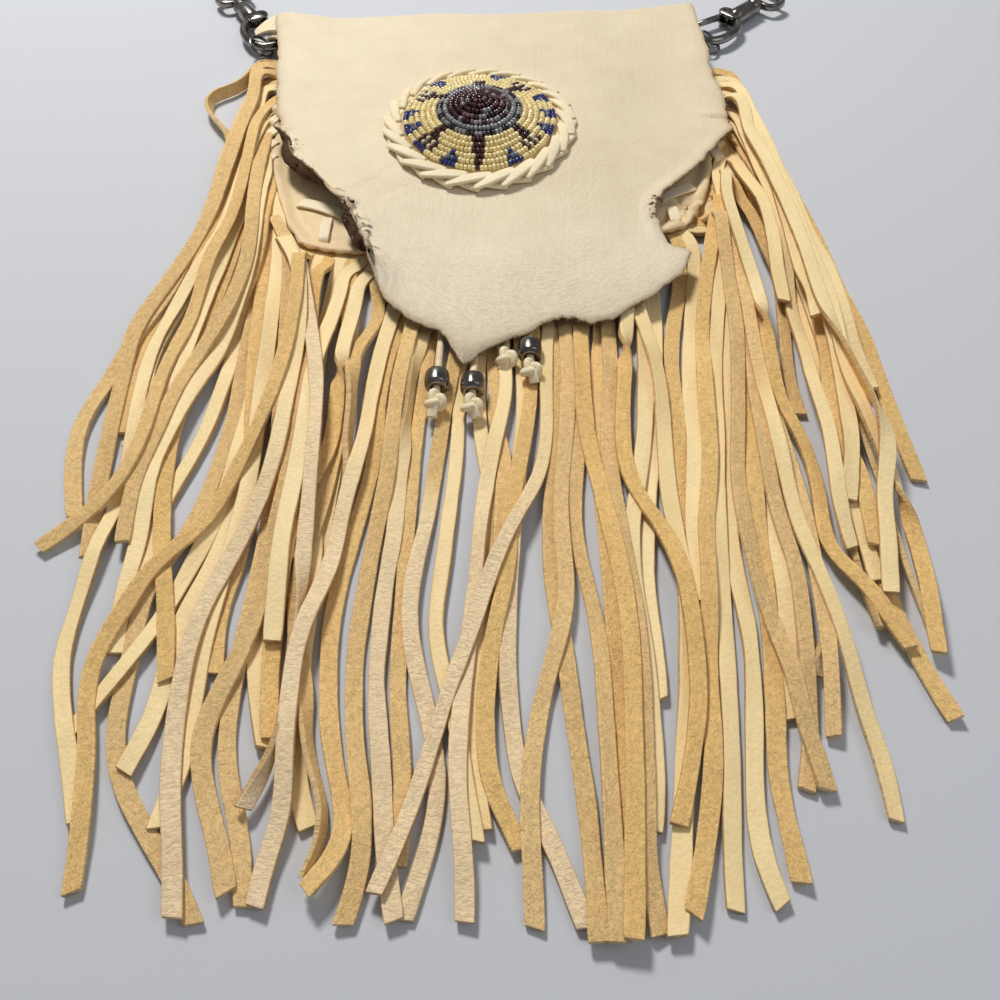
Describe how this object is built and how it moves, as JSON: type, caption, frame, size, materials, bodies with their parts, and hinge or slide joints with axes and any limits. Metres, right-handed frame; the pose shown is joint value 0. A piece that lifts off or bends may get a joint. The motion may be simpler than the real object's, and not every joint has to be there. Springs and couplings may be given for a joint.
{
  "type": "fringed leather bag",
  "caption": "Flat leather shoulder bag lying on its back, with a long flap, a beaded rosette, laced side seams, long fringe and a swivel snap hook at each top corner.",
  "frame": {"origin": "middle of the pouch's back face, on the surface that the bag lies on", "axes": "+Z out of the front of the bag, +Y up the bag from the fringe to the fold, +X to the right of the front"},
  "size_m": [0.2783, 0.453, 0.028],
  "materials": {
    "flap_hide": "smooth cream grain, suede side under",
    "panel_hide": "smooth warm cream grain",
    "fringe_hide": "golden suede and cream grain",
    "lace": "pale smooth lace",
    "beadwork": "glossy seed beads",
    "metal": "polished dark nickel"
  },
  "bodies": {
    "bag": {"back_and_flap": "flap_hide", "front_panel": "panel_hide", "fringe_left": "fringe_hide", "fringe_bottom": "fringe_hide", "fringe_right": "fringe_hide", "side_lace_left": "lace", "side_lace_right": "lace", "corner_lace_left_1": "lace", "corner_lace_left_2": "lace", "corner_lace_right_1": "lace", "corner_lace_right_2": "lace", "rosette_backing": "lace", "rosette_beadwork": "beadwork", "rosette_braid": "lace", "tie_1": "lace", "tie_2": "lace", "tie_3": "lace", "tie_4": "lace", "knot_1": "lace", "knot_2": "lace", "knot_3": "lace", "knot_4": "lace", "bead_1": "metal", "bead_2": "metal", "bead_3": "metal", "hook_body_left": "metal", "gate_pin_left": "metal", "hook_ring_left": "metal", "corner_loop_left": "lace", "hook_body_right": "metal", "gate_pin_right": "metal", "hook_ring_right": "metal", "corner_loop_right": "lace"},
    "gate_left": {"hook_gate_left": "metal"},
    "gate_right": {"hook_gate_right": "metal"},
    "eye_left": {"swivel_eye_left": "metal"},
    "eye_right": {"swivel_eye_right": "metal"}
  },
  "joints": [
    {"name": "gate_left_hinge", "type": "hinge", "parent": "bag", "child": "gate_left", "pos_m": [-0.11012, 0.09233, 0.0042], "axis": [0, 0, -1], "range_deg": [0, 25], "stiffness_Nm_per_rad": 0.02, "springref_deg": -17.19},
    {"name": "gate_right_hinge", "type": "hinge", "parent": "bag", "child": "gate_right", "pos_m": [0.10996, 0.09556, 0.0042], "axis": [0, 0, 1], "range_deg": [0, 25], "stiffness_Nm_per_rad": 0.02, "springref_deg": -17.19},
    {"name": "swivel_left", "type": "hinge", "parent": "bag", "child": "eye_left", "pos_m": [-0.123, 0.10544, 0.0042], "axis": [-0.5, 0.866, 0], "continuous": true},
    {"name": "swivel_right", "type": "hinge", "parent": "bag", "child": "eye_right", "pos_m": [0.12596, 0.10462, 0.0042], "axis": [0.7193, 0.6947, 0], "continuous": true}
  ]
}
